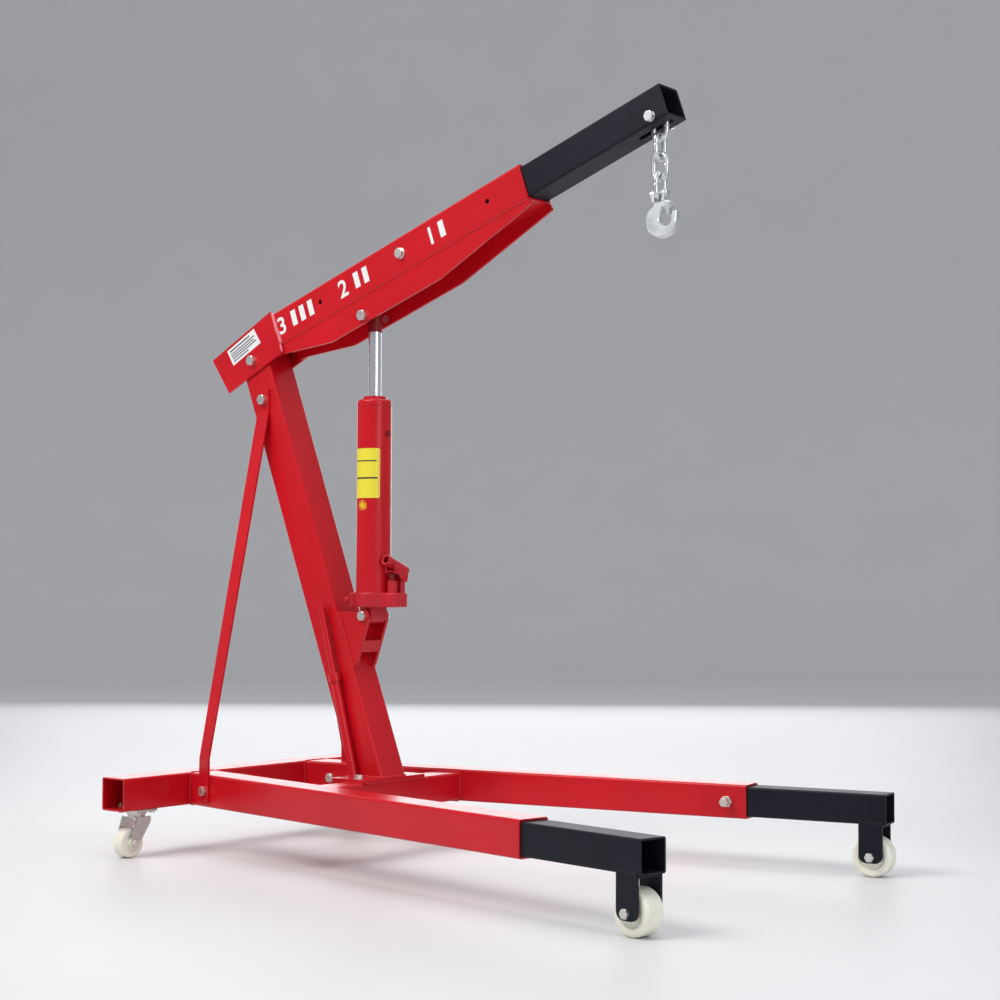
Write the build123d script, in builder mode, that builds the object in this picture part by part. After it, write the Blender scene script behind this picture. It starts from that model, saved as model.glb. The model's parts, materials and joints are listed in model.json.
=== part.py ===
from build123d import *
import math
import os

# Engine hoist crane, millimetres, +Z up.  +X points from the rear cross tube towards the open
# ends of the legs, +Y to the left of somebody standing behind the crane and looking along +X.
# The origin is on the floor at the middle of the footprint.

os.makedirs("parts", exist_ok=True)

# ---------------------------------------------------------------- driving dimensions
X_REAR = -710.4          # front face of the rear cross tube
TUBE = 80.0              # square leg and cross tube
WALL = 4.0
Z_LOW = 116.0            # underside of the base tubes
Z_TOP = Z_LOW + TUBE     # top of the base tubes
Z_MID = Z_LOW + TUBE / 2
REAR_HALF = 457.5        # half length of the rear cross tube
SPLAY = 10.5             # each leg opens by this angle
LEG_IN_Y = 163.0         # inner face of a leg at the rear cross tube
LEG_LEN = 1238.0         # end of the fixed leg, along the leg
EXT_END = 1574.0         # end of the pulled out leg extension, along the leg
EXT_START = 870.0        # hidden inner end of the leg extension
EXT_TUBE = 70.0

MAST_X = 463.0           # front face of the mast where it meets its foot plate
MAST_LEAN = 21.0
MAST_W = 90.0
MAST_D = 95.0
MAST_TOP = 1188.0
PIVOT_A = 1143.0         # boom pivot height along the mast
BRACE_A = 1032.0         # upper brace bolt height along the mast
FOOT_X = 69.0            # lower brace bolt, ahead of the rear cross tube

BOOM_X, BOOM_Z = 128.1, 1383.0   # top edge reference point of the boom
BOOM_ANGLE = 19.5
BOOM = 90.0
BOOM_WALL = 5.0
BOOM_S0, BOOM_S1 = -84.0, 792.0
BEXT = 78.0
BEXT_S0, BEXT_S1 = 344.0, 1198.0
LOCK_PITCH = 286.0
LOCK_S = 394.0
LOCK_H = -42.0
CHAIN_S, CHAIN_H = 1156.0, -68.0

RAM_X = 391.0
RAM_LOW_Z = 589.0
RAM_TOP_Z = 1333.0
RAM_R = 43.0

WHEEL_R = 47.0
AXLE_L = 1536.0
CASTER_R = 36.5
CASTER_X = -40.0
CASTER_Y = 383.0
TRAIL = 26.0

LINK_D = 12.0            # chain wire
LINK_P = 45.0            # inside length of a link
LINK_W = 22.0            # inside width of a link
RUN = 0.05               # radial running clearance

# ---------------------------------------------------------------- directions and points
sa, ca = math.sin(math.radians(SPLAY)), math.cos(math.radians(SPLAY))
sm, cm = math.sin(math.radians(MAST_LEAN)), math.cos(math.radians(MAST_LEAN))
sb, cb = math.sin(math.radians(BOOM_ANGLE)), math.cos(math.radians(BOOM_ANGLE))
LEG_CY = LEG_IN_Y + TUBE / 2 / ca


def xr(x):
    return X_REAR + x


def leg_dir(side):
    return (ca, side * sa, 0)


def leg_point(side, along, out=0.0, z=0.0):
    """A point along a leg's centre line, moved outwards by out."""
    return (xr(along * ca - out * sa), side * (LEG_CY + along * sa + out * ca), z)


def leg_section(side, along, z=Z_MID):
    """Plane across a leg: local x outwards on the left leg, local y up."""
    return Plane(origin=leg_point(side, along, 0, z), x_dir=(-side * sa, ca, 0), z_dir=leg_dir(side))


def leg_face(side, along, out, z, inwards=False):
    """Plane on a side face of a leg, normal pointing away from the crane's middle or to it."""
    k = -1 if inwards else 1
    return Plane(origin=leg_point(side, along, out, z), x_dir=leg_dir(side), z_dir=(-sa * k, side * ca * k, 0))


def foot_bolt_plane(side, out):
    """Axis of the bolt that holds a brace to the leg, square to the leg's outer face."""
    y = side * (LEG_IN_Y + TUBE / ca + FOOT_X * sa / ca)
    return Plane(origin=(xr(FOOT_X) - sa * out, y + side * ca * out, Z_MID), x_dir=(ca, side * sa, 0), z_dir=(-sa, side * ca, 0))


def mast_pt(a, b, y=0.0):
    return (xr(MAST_X) - sm * a + cm * b, y, Z_TOP + cm * a + sm * b)


def mast_side(y):
    """Local x forwards from the mast's front face, local y up the mast, normal -Y."""
    return Plane(origin=mast_pt(0, 0, y), x_dir=(cm, 0, sm), z_dir=(0, -1, 0))


def boom_pt(s, h, y=0.0):
    return (xr(BOOM_X) + s * cb - h * sb, y, BOOM_Z + s * sb + h * cb)


def boom_side(y):
    """Local x along the boom, local y square to it, normal -Y."""
    return Plane(origin=boom_pt(0, 0, y), x_dir=(cb, 0, sb), z_dir=(0, -1, 0))


def boom_section(s, h):
    return Plane(origin=boom_pt(s, h), x_dir=(0, 1, 0), z_dir=(cb, 0, sb))


def side_plane(x, z, y):
    """Upright plane in the crane's length, local x = X, local y = Z, normal -Y."""
    return Plane(origin=(x, y, z), x_dir=(1, 0, 0), z_dir=(0, -1, 0))


# ---------------------------------------------------------------- small builders used by many pieces
def disc(plane, radius, height, mode=Mode.ADD):
    with BuildSketch(plane) as sk:
        Circle(radius)
    extrude(sk.sketch, amount=height, mode=mode)


def ring(plane, outer, inner, height):
    with BuildSketch(plane) as sk:
        Circle(outer)
        Circle(inner, mode=Mode.SUBTRACT)
    extrude(sk.sketch, amount=height)


def hexagon(plane, across, height, bore=0.0):
    with BuildSketch(plane) as sk:
        RegularPolygon(across / 2, 6, major_radius=False)
        if bore:
            Circle(bore, mode=Mode.SUBTRACT)
    extrude(sk.sketch, amount=height)
    # the turned crown that takes the corners off the outer face
    r0, r1 = 0.97 * across / 2, across / math.sqrt(3) + 1
    with BuildSketch(Plane(origin=plane.origin, x_dir=plane.x_dir, z_dir=plane.x_dir.cross(plane.z_dir))) as crown:
        Polygon((r0, height), (r1, height - (r1 - r0) * math.tan(math.radians(30))), (r1, height + 0.5), (r0, height + 0.5), align=None)
    revolve(crown.sketch, axis=Axis(plane.origin, plane.z_dir), mode=Mode.SUBTRACT)


def block(plane, w, h, height, mode=Mode.ADD):
    with BuildSketch(plane) as sk:
        Rectangle(w, h)
    extrude(sk.sketch, amount=height, mode=mode)


def poly(plane, points, height, mode=Mode.ADD):
    with BuildSketch(plane) as sk:
        Polygon(*points, align=None)
    extrude(sk.sketch, amount=height, mode=mode)


def tube_run(plane, w, h, wall, radius, length):
    """Rectangular hollow section from a section plane."""
    with BuildSketch(plane) as sk:
        RectangleRounded(w, h, radius)
        RectangleRounded(w - 2 * wall, h - 2 * wall, max(radius - wall, 1.0), mode=Mode.SUBTRACT)
    extrude(sk.sketch, amount=length)


def through_bolt(plane, radius, across, head, grip, nut, tail=4.0, washer=0.0, washer_t=2.0):
    """Hex bolt: plane is under the head on the near surface, normal pointing out of the surface.
    The shank goes the other way for grip, and a nut sits on the far surface."""
    far = plane.offset(-grip)
    back = Plane(origin=far.origin, x_dir=far.x_dir, z_dir=-far.z_dir)
    w = washer_t if washer else 0.0
    disc(far.offset(-(nut + w + tail)), radius, grip + nut + w + tail + w)
    hexagon(plane.offset(w), across, head)
    if washer:
        disc(plane, washer, w)
        ring(back, washer, radius + RUN, w)
    hexagon(back.offset(w), across, nut, radius + RUN)


def export(part, label):
    part.label = label
    export_step(part, "parts/" + label + ".step")


# ================================================================ base frame
with BuildPart() as rear_cross_tube:
    tube_run(Plane(origin=(xr(-TUBE / 2), -REAR_HALF, Z_MID), x_dir=(-1, 0, 0), z_dir=(0, 1, 0)),
             TUBE, TUBE, WALL, 6, 2 * REAR_HALF)
    with Locations(*[Location((xr(CASTER_X + i * 26.5), s * (CASTER_Y + j * 26.5), Z_LOW))
                     for s in (-1, 1) for i in (-1, 1) for j in (-1, 1)]):
        Cylinder(4.5, 12, mode=Mode.SUBTRACT)
export(rear_cross_tube.part, "rear_cross_tube")


def leg_tube(side):
    tube_run(leg_section(side, -30), TUBE, TUBE, WALL, 6, LEG_LEN + 30)
    split(bisect_by=Plane(origin=(xr(0), 0, 0), z_dir=(1, 0, 0)), keep=Keep.TOP)
    # brace bolt through both walls and the clamp screw hole in the inner wall
    disc(foot_bolt_plane(side, 20), 7.1, -150, Mode.SUBTRACT)
    disc(leg_face(side, 1192, -30, Z_MID, inwards=True), 6.1, 20, Mode.SUBTRACT)


with BuildPart() as left_leg_tube:
    leg_tube(1)
export(left_leg_tube.part, "left_leg_tube")
with BuildPart() as right_leg_tube:
    leg_tube(-1)
export(right_leg_tube.part, "right_leg_tube")

CROSS_X = 431.0
PLATE_BOLTS = ((CROSS_X, -94), (413, 76))
with BuildPart() as front_cross_tube:
    tube_run(Plane(origin=(xr(CROSS_X), -330, Z_LOW + 37), x_dir=(-1, 0, 0), z_dir=(0, 1, 0)), 70, 70, WALL, 6, 660)
    for side in (-1, 1):
        split(bisect_by=Plane(origin=leg_point(side, 430, -TUBE / 2, Z_MID), z_dir=(-sa, side * ca, 0)), keep=Keep.BOTTOM)
    with Locations(*[(xr(x), y, Z_LOW + 72) for x, y in PLATE_BOLTS]):
        Cylinder(6.1, 12, mode=Mode.SUBTRACT)
export(front_cross_tube.part, "front_cross_tube")

with BuildPart() as mast_base_plate:
    with BuildSketch(Plane.XY.offset(Z_TOP - 8)):
        with Locations((xr(413), 0)):
            RectangleRounded(110, 222, 4)
        with Locations(*[(xr(x), y) for x, y in PLATE_BOLTS]):
            Circle(6.1, mode=Mode.SUBTRACT)
    extrude(amount=8)
export(mast_base_plate.part, "mast_base_plate")

# ================================================================ mast
SLEEVE_R = 16.0
with BuildPart() as mast_post:
    tube_run(Plane(origin=mast_pt(-60, -MAST_D / 2), x_dir=(cm, 0, sm), z_dir=(-sm, 0, cm)),
             MAST_D, MAST_W, 4.5, 7, MAST_TOP + 60)
    split(bisect_by=Plane.XY.offset(Z_TOP), keep=Keep.TOP)
    with BuildSketch(mast_side(60)) as bores:
        with Locations((-MAST_D / 2, PIVOT_A)):
            Circle(SLEEVE_R + RUN)
        with Locations((-MAST_D / 2, BRACE_A)):
            Circle(7.1)
    extrude(amount=120, mode=Mode.SUBTRACT)
export(mast_post.part, "mast_post")

with BuildPart() as mast_pivot_sleeve:
    with BuildSketch(mast_side(MAST_W / 2)):
        with Locations((-MAST_D / 2, PIVOT_A)):
            Circle(SLEEVE_R)
            Circle(10 + RUN, mode=Mode.SUBTRACT)
    extrude(amount=MAST_W)
export(mast_pivot_sleeve.part, "mast_pivot_sleeve")

# flat bar braces: upper tab on the mast's side, lower tab on the leg's outer face
BR_W, BR_T = 39.0, 6.0
BR_TOP = mast_pt(BRACE_A, -MAST_D / 2)
BR_LEG_Y = LEG_IN_Y + TUBE / ca + FOOT_X * sa / ca


def brace(side):
    top = Plane.XY.offset(BR_TOP[2] - 32)
    low = Plane.XY.offset(235)
    ty = side * (MAST_W / 2 + 0.05 + BR_T / 2)
    with BuildSketch(top) as a:
        with Locations((BR_TOP[0], ty)):
            Rectangle(BR_W, BR_T)
    off = BR_T / 2 + 0.05
    bx, by = xr(FOOT_X) - off * sa, side * (BR_LEG_Y + off * ca)
    with BuildSketch(low) as b:
        with Locations(Location((bx, by), side * SPLAY)):
            Rectangle(BR_W, BR_T)
    loft([b.sketch.faces()[0], a.sketch.faces()[0]], ruled=True)
    extrude(a.sketch, amount=58)
    extrude(b.sketch, amount=-105)
    disc(Plane(origin=(BR_TOP[0], ty + 20, BR_TOP[2]), z_dir=(0, -1, 0)), 7.1, 40, Mode.SUBTRACT)
    disc(foot_bolt_plane(side, 20), 7.1, -40, Mode.SUBTRACT)


with BuildPart() as mast_braces:
    brace(1)
    brace(-1)
export(mast_braces.part, "mast_braces")

# ram bracket: two ears on the mast's front face with a closing strip between them
RAM_A = (xr(MAST_X) - xr(RAM_X)) * sm + (RAM_LOW_Z - Z_TOP) * cm
RAM_B = -(xr(MAST_X) - xr(RAM_X)) * cm + (RAM_LOW_Z - Z_TOP) * sm
EAR_IN, EAR_T = 30.0, 8.0
ear_outline = [(0.0, 282), (12, 291), (RAM_B + 14.5, RAM_A - 12), (RAM_B + 10, RAM_A + 15), (RAM_B - 12, RAM_A + 14), (0.0, 432)]
with BuildPart() as ram_bracket:
    for y in (EAR_IN + EAR_T, -EAR_IN):
        with BuildSketch(mast_side(y)):
            Polygon(*ear_outline, align=None)
            with Locations((RAM_B, RAM_A)):
                Circle(17)
                Circle(9.05, mode=Mode.SUBTRACT)
        extrude(amount=EAR_T)
    with BuildSketch(mast_side(EAR_IN)):
        Polygon((30, 313), (50, 336), (44, 341), (24, 318), align=None)
    extrude(amount=2 * EAR_IN)
export(ram_bracket.part, "ram_bracket")

with BuildPart() as ram_lower_bolt:
    through_bolt(side_plane(xr(RAM_X), RAM_LOW_Z, -EAR_IN - EAR_T - 0.05), 9, 22, 10, 2 * (EAR_IN + EAR_T) + 0.1, 13, 5, 0)
export(ram_lower_bolt.part, "ram_lower_bolt")

# bolts of the frame: foot plate, brace feet and brace heads, and the welded nuts of the leg clamps
with BuildPart() as frame_bolts:
    for x, y in PLATE_BOLTS:
        through_bolt(Plane(origin=(xr(x), y, Z_TOP + 0.05), x_dir=(1, 0, 0), z_dir=(0, 0, 1)), 6, 20, 8, 12.1, 10, 4, 12, 2)
    through_bolt(side_plane(BR_TOP[0], BR_TOP[2], -MAST_W / 2 - BR_T - 0.1), 7, 24, 10, MAST_W + 2 * BR_T + 0.2, 11, 4)
    for side in (-1, 1):
        plane = foot_bolt_plane(side, BR_T + 0.1)
        through_bolt(plane, 7, 22, 9, TUBE + BR_T + 0.2, 11, 5)
        hexagon(leg_face(side, 1192, -TUBE / 2 - 0.02, Z_MID, inwards=True), 24, 12, 6.1)
export(frame_bolts.part, "frame_bolts")

# holder of the stored pump handle: a tube on the foot plate with a collar against the mast
HAND_Y = -(MAST_W / 2 + 15.2)
HAND_TILT = 15.5
sh, ch = math.sin(math.radians(HAND_TILT)), math.cos(math.radians(HAND_TILT))
HAND_FOOT = (xr(384), HAND_Y, Z_TOP)


def handle_plane(d):
    return Plane(origin=(HAND_FOOT[0] - sh * d, HAND_FOOT[1], HAND_FOOT[2] + ch * d), x_dir=(ch, 0, sh), z_dir=(-sh, 0, ch))


with BuildPart() as handle_holder:
    with BuildSketch(handle_plane(-12)):
        Circle(11)
    extrude(amount=252)
    with BuildSketch(handle_plane(238)):
        Circle(15)
    extrude(amount=20)
    with BuildSketch(handle_plane(8)):
        Circle(8.4)
    extrude(amount=260, mode=Mode.SUBTRACT)
    split(bisect_by=Plane.XY.offset(Z_TOP + 0.02), keep=Keep.TOP)
export(handle_holder.part, "handle_holder")

with BuildPart() as pump_handle:
    with BuildSketch(handle_plane(12)):
        Circle(8)
    extrude(amount=416)
    with BuildSketch(handle_plane(428)):
        Circle(6.5)
    extrude(amount=4)
export(pump_handle.part, "pump_handle")

# ================================================================ leg extensions with fixed wheels


def leg_extension(side):
    tube_run(leg_section(side, EXT_START), EXT_TUBE, EXT_TUBE, WALL, 5, EXT_END - EXT_START)


FORK_T = 6.0
FORK_TOP = Z_MID - EXT_TUBE / 2


def front_axle(side):
    plane = leg_face(side, AXLE_L, EXT_TUBE / 2 + 0.05, WHEEL_R)
    through_bolt(plane, 6, 19, 8, EXT_TUBE + 0.1, 10, 4)


def wheel_profile(radius, width, hub_r, hub_w, dish_r, dish, bore, edge):
    """Half section of a wheel: local x = radius, local y = along the axle."""
    w, h = width / 2, hub_w / 2
    return [(bore, -h), (hub_r, -h), (hub_r, -w + dish), (dish_r, -w + dish), (dish_r + 2, -w), (radius - edge, -w),
            (radius - edge * 0.3, -w + edge * 0.35), (radius, -w + edge), (radius, w - edge), (radius - edge * 0.3, w - edge * 0.35),
            (radius - edge, w), (dish_r + 2, w), (dish_r, w - dish), (hub_r, w - dish), (hub_r, h), (bore, h)]


# the revolve works in the plane that holds the axle (local y) and a radius (local x)
for side, word in ((1, "left"), (-1, "right")):
    with BuildPart() as leg_ext:
        leg_extension(side)
    export(leg_ext.part, word + "_leg_extension")

    with BuildPart() as fork:
        with BuildSketch(leg_face(side, 1537, EXT_TUBE / 2, (FORK_TOP + 33) / 2)) as plate:
            Rectangle(56, FORK_TOP - 33)
            fillet(plate.vertices().group_by(Axis.Y)[-1 if side > 0 else 0], 18)
        extrude(plate.sketch, amount=-FORK_T)
        with BuildSketch(leg_face(side, 1537, -EXT_TUBE / 2 + FORK_T, (FORK_TOP + 33) / 2)) as plate2:
            Rectangle(56, FORK_TOP - 33)
            fillet(plate2.vertices().group_by(Axis.Y)[-1 if side > 0 else 0], 18)
        extrude(plate2.sketch, amount=-FORK_T)
        with BuildSketch(Plane(origin=leg_point(side, 1537, 0, FORK_TOP - FORK_T), x_dir=leg_dir(side), z_dir=(0, 0, 1))) as web:
            Rectangle(56, EXT_TUBE - 1)
        extrude(web.sketch, amount=FORK_T)
        with BuildSketch(leg_face(side, AXLE_L, 50, WHEEL_R, inwards=True)) as hole:
            Circle(6.05)
        extrude(hole.sketch, amount=100, mode=Mode.SUBTRACT)
    export(fork.part, word + "_wheel_fork")

    with BuildPart() as axle:
        front_axle(side)
    export(axle.part, word + "_wheel_axle")

    axle_dir = (-sa, side * ca, 0)
    with BuildPart() as wheel:
        with BuildSketch(Plane(origin=leg_point(side, AXLE_L, 0, WHEEL_R), x_dir=leg_dir(side), z_dir=(0, 0, side))) as prof:
            Polygon(*wheel_profile(WHEEL_R, 48, 15, 56, 29, 5, 6.05 + RUN, 6), align=None)
        revolve(axis=Axis(leg_point(side, AXLE_L, 0, WHEEL_R), axle_dir))
    export(wheel.part, word + "_front_wheel")

    with BuildPart() as clamp:
        # shank ends just short of the extension; the head stands off the welded nut
        disc(leg_face(side, 1192, -EXT_TUBE / 2 - 0.6, Z_MID, inwards=True), 6, TUBE / 2 - EXT_TUBE / 2 - 0.6 + 12 + 10)
        hexagon(leg_face(side, 1192, -TUBE / 2 - 12 - 9.5, Z_MID, inwards=True), 19, 8)
    export(clamp.part, word + "_clamp_screw")

    # ------------------------------------------------ rear swivel caster of this side
    cx, cy = xr(CASTER_X), side * CASTER_Y
    wy = side * (CASTER_Y + TRAIL)
    with BuildPart() as cfork:
        for x0 in (cx - 28, cx + 24.5):
            with BuildSketch(Plane(origin=(x0, wy, CASTER_R), x_dir=(0, side, 0), z_dir=(side * 1.0, 0, 0))) as cheek:
                Polygon((-48, 62), (-5, 62), (7, 30), (12, 0), (0, -12), (-11, -5), (-48, 48), align=None)
                Circle(12)
                Circle(5.05, mode=Mode.SUBTRACT)
            extrude(cheek.sketch, amount=3.5 * side)
        with BuildSketch(Plane(origin=(cx, wy - side * 26.5, CASTER_R + 58.5), x_dir=(1, 0, 0), z_dir=(0, 0, 1))) as top:
            Rectangle(55.9, 43)
        extrude(top.sketch, amount=3.5)
        with BuildSketch(Plane(origin=(cx, cy, CASTER_R + 62), x_dir=(1, 0, 0), z_dir=(0, 0, 1))) as race:
            Circle(21)
        extrude(race.sketch, amount=5)
        with BuildSketch(Plane(origin=(cx, cy, 80), x_dir=(1, 0, 0), z_dir=(0, 0, 1))) as bore:
            Circle(6 + RUN)
        extrude(bore.sketch, amount=40, mode=Mode.SUBTRACT)
    export(cfork.part, word + "_caster_fork")

    with BuildPart() as caxle:
        through_bolt(Plane(origin=(cx + 28.05, wy, CASTER_R), x_dir=(0, 1, 0), z_dir=(1, 0, 0)), 5, 17, 6, 56.1, 8, 3)
    export(caxle.part, word + "_caster_axle")

    with BuildPart() as cwheel:
        with BuildSketch(Plane(origin=(cx, wy, CASTER_R), x_dir=(0, 1, 0), z_dir=(0, 0, -1))) as prof:
            Polygon(*wheel_profile(CASTER_R, 33, 12, 48, 21, 5, 5.05 + RUN, 5), align=None)
        revolve(axis=Axis((cx, wy, CASTER_R), (1, 0, 0)))
    export(cwheel.part, word + "_rear_wheel")

with BuildPart() as caster_top_plates:
    with BuildSketch(Plane.XY.offset(Z_LOW - 5)):
        for side in (-1, 1):
            with Locations((xr(CASTER_X), side * CASTER_Y)):
                RectangleRounded(76, 76, 7)
            with Locations(*[(xr(CASTER_X + i * 26.5), side * (CASTER_Y + j * 26.5)) for i in (-1, 1) for j in (-1, 1)]):
                Circle(4.1, mode=Mode.SUBTRACT)
    extrude(amount=5)
    with BuildSketch(Plane.XY.offset(Z_LOW - 12)):
        with Locations((xr(CASTER_X), CASTER_Y), (xr(CASTER_X), -CASTER_Y)):
            Circle(25)
    extrude(amount=7)
    with BuildSketch(Plane.XY.offset(Z_LOW - 20)):
        with Locations((xr(CASTER_X), CASTER_Y), (xr(CASTER_X), -CASTER_Y)):
            Circle(6 + RUN)
    extrude(amount=30, mode=Mode.SUBTRACT)
export(caster_top_plates.part, "caster_top_plates")

with BuildPart() as caster_kingpins:
    with BuildSketch(Plane.XY.offset(90)):
        with Locations((xr(CASTER_X), CASTER_Y), (xr(CASTER_X), -CASTER_Y)):
            Circle(6)
    extrude(amount=Z_LOW - 90)
    with BuildSketch(Plane.XY.offset(88)):
        with Locations((xr(CASTER_X), CASTER_Y), (xr(CASTER_X), -CASTER_Y)):
            Circle(11)
    extrude(amount=6.6)
export(caster_kingpins.part, "caster_kingpins")

with BuildPart() as caster_plate_bolts:
    for side in (-1, 1):
        for i in (-1, 1):
            for j in (-1, 1):
                p = Plane(origin=(xr(CASTER_X + i * 26.5), side * (CASTER_Y + j * 26.5), Z_LOW - 5.05), x_dir=(1, 0, 0), z_dir=(0, 0, -1))
                through_bolt(p, 4, 13, 5, 9.1, 6.5, 3)
export(caster_plate_bolts.part, "caster_plate_bolts")

# ================================================================ boom
with BuildPart() as boom_tube:
    tube_run(boom_section(BOOM_S0, -BOOM / 2), BOOM, BOOM, BOOM_WALL, 7, BOOM_S1 - BOOM_S0)
    with BuildSketch(boom_side(60)) as holes:
        with Locations((LOCK_S - LOCK_PITCH, LOCK_H), (LOCK_S, LOCK_H), (LOCK_S + LOCK_PITCH, LOCK_H)):
            Circle(6.5)
    extrude(amount=120, mode=Mode.SUBTRACT)
export(boom_tube.part, "boom_tube")

PLATE_T = 6.0
UP_S = (xr(RAM_X) - xr(BOOM_X)) * cb + (RAM_TOP_Z - BOOM_Z) * sb
UP_H = -(xr(RAM_X) - xr(BOOM_X)) * sb + (RAM_TOP_Z - BOOM_Z) * cb
with BuildPart() as boom_side_plates:
    for y in (BOOM / 2, -BOOM / 2 + PLATE_T):
        with BuildSketch(boom_side(y)) as web:
            Polygon((BOOM_S0, -90.02), (BOOM_S1, -90.02), (BOOM_S1 + 3, -106), (486, -154), (111, -154), (-52, -115), (BOOM_S0, -111), align=None)
            with Locations((UP_S, UP_H)):
                Circle(10.05, mode=Mode.SUBTRACT)
        extrude(web.sketch, amount=PLATE_T)
export(boom_side_plates.part, "boom_side_plates")

BK_IN, BK_T = BOOM / 2 + 0.6, 6.0
BK = [(-294, -30), (-58, 5), (-51, -111), (-265, -135)]
P0 = mast_pt(PIVOT_A, -MAST_D / 2)
P0_S = (P0[0] - xr(BOOM_X)) * cb + (P0[2] - BOOM_Z) * sb
P0_H = -(P0[0] - xr(BOOM_X)) * sb + (P0[2] - BOOM_Z) * cb
tx, ty = 236 / math.hypot(236, 35), 35 / math.hypot(236, 35)
with BuildPart() as boom_bracket:
    for y in (BK_IN + BK_T, -BK_IN):
        with BuildSketch(boom_side(y)) as cheek:
            Polygon(*BK, align=None)
        extrude(cheek.sketch, amount=BK_T)
    k = (-88 + 294) / 236
    with BuildSketch(boom_side(BK_IN + BK_T)) as lid:
        Polygon((-294, -30), (-88, -30 + 35 * k), (-88 + 6 * ty, -30 + 35 * k - 6 * tx), (-294 + 6 * ty, -30 - 6 * tx), align=None)
    extrude(lid.sketch, amount=2 * (BK_IN + BK_T))
    with BuildSketch(boom_side(60)) as bore:
        with Locations((P0_S, P0_H)):
            Circle(10.05)
    extrude(bore.sketch, amount=120, mode=Mode.SUBTRACT)
export(boom_bracket.part, "boom_bracket")

with BuildPart() as boom_pivot_bolt:
    through_bolt(side_plane(P0[0], P0[2], -BK_IN - BK_T - 0.05), 10, 24, 11, 2 * (BK_IN + BK_T) + 0.1, 14, 5)
export(boom_pivot_bolt.part, "boom_pivot_bolt")

with BuildPart() as ram_upper_bolt:
    # the two ends of the upper ram bolt, each seated in its side plate
    near = side_plane(xr(RAM_X), RAM_TOP_Z, -BOOM / 2 - 0.05)
    disc(near.offset(-PLATE_T), 10, PLATE_T + 0.05)
    hexagon(near, 24, 11)
    far = Plane(origin=(xr(RAM_X), BOOM / 2 + 0.05, RAM_TOP_Z), x_dir=(1, 0, 0), z_dir=(0, 1, 0))
    disc(far.offset(-PLATE_T), 10, PLATE_T + 18)
    hexagon(far, 24, 14)
export(ram_upper_bolt.part, "ram_upper_bolt")

with BuildPart() as boom_lock_screw:
    p = Plane(origin=boom_pt(LOCK_S, LOCK_H, -BOOM / 2 - 0.05), x_dir=(cb, 0, sb), z_dir=(0, -1, 0))
    disc(p.offset(-BOOM_WALL), 6.4, BOOM_WALL + 1)
    disc(p, 14, 2.5)
    hexagon(p.offset(2.5), 22, 9)
export(boom_lock_screw.part, "boom_lock_screw")

with BuildPart() as boom_extension:
    tube_run(boom_section(BEXT_S0, -BOOM / 2), BEXT, BEXT, 5, 6, BEXT_S1 - BEXT_S0)
    with BuildSketch(boom_side(60)) as holes:
        with Locations((CHAIN_S, CHAIN_H)):
            Circle(7.05)
        with Locations((LOCK_S, LOCK_H)):
            Circle(6.5)
    extrude(holes.sketch, amount=120, mode=Mode.SUBTRACT)
    # slot in the bottom wall for the first chain link
    with BuildSketch(Plane(origin=boom_pt(CHAIN_S - 17, -BOOM / 2 - BEXT / 2 - 3), x_dir=(cb, 0, sb), z_dir=(-sb, 0, cb))) as slot:
        RectangleRounded(94, 16, 4)
    extrude(slot.sketch, amount=15, mode=Mode.SUBTRACT)
export(boom_extension.part, "boom_extension")

CB = boom_pt(CHAIN_S, CHAIN_H)
with BuildPart() as chain_bolt:
    through_bolt(side_plane(CB[0], CB[2], -BEXT / 2 - 0.05), 7, 22, 9, BEXT + 0.1, 11, 4, 12.5, 2)
export(chain_bolt.part, "chain_bolt")

# ================================================================ chain and hook
GAP = 0.3
MID_R = (LINK_W + LINK_D) / 2
STRAIGHT = (LINK_P + LINK_D) - 2 * MID_R
top_z = CB[2] + 7 + GAP
z_bottom = []
for n in range(4):
    zc = top_z - LINK_P / 2
    along_x = n % 2 == 0
    xd = (1, 0, 0) if along_x else (0, 1, 0)
    zd = (0, -1, 0) if along_x else (1, 0, 0)
    plane = Plane(origin=(CB[0], 0, zc), x_dir=xd, z_dir=zd)
    with BuildPart() as link:
        with BuildLine(plane) as path:
            l1 = Line((MID_R, -STRAIGHT / 2), (MID_R, STRAIGHT / 2))
            a1 = ThreePointArc((MID_R, STRAIGHT / 2), (0, STRAIGHT / 2 + MID_R), (-MID_R, STRAIGHT / 2))
            l2 = Line((-MID_R, STRAIGHT / 2), (-MID_R, -STRAIGHT / 2))
            a2 = ThreePointArc((-MID_R, -STRAIGHT / 2), (0, -STRAIGHT / 2 - MID_R), (MID_R, -STRAIGHT / 2))
        with BuildSketch(Plane(origin=plane.from_local_coords((MID_R, -STRAIGHT / 2, 0)), x_dir=xd, z_dir=(0, 0, 1))) as wire:
            Circle(LINK_D / 2)
        sweep(sections=wire.sketch, path=path.wires()[0])
    export(link.part, "chain_link_%d" % (n + 1))
    low = zc - LINK_P / 2 - LINK_D / 2
    z_bottom.append(low)
    top_z = low + LINK_D / 2 + GAP

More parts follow.
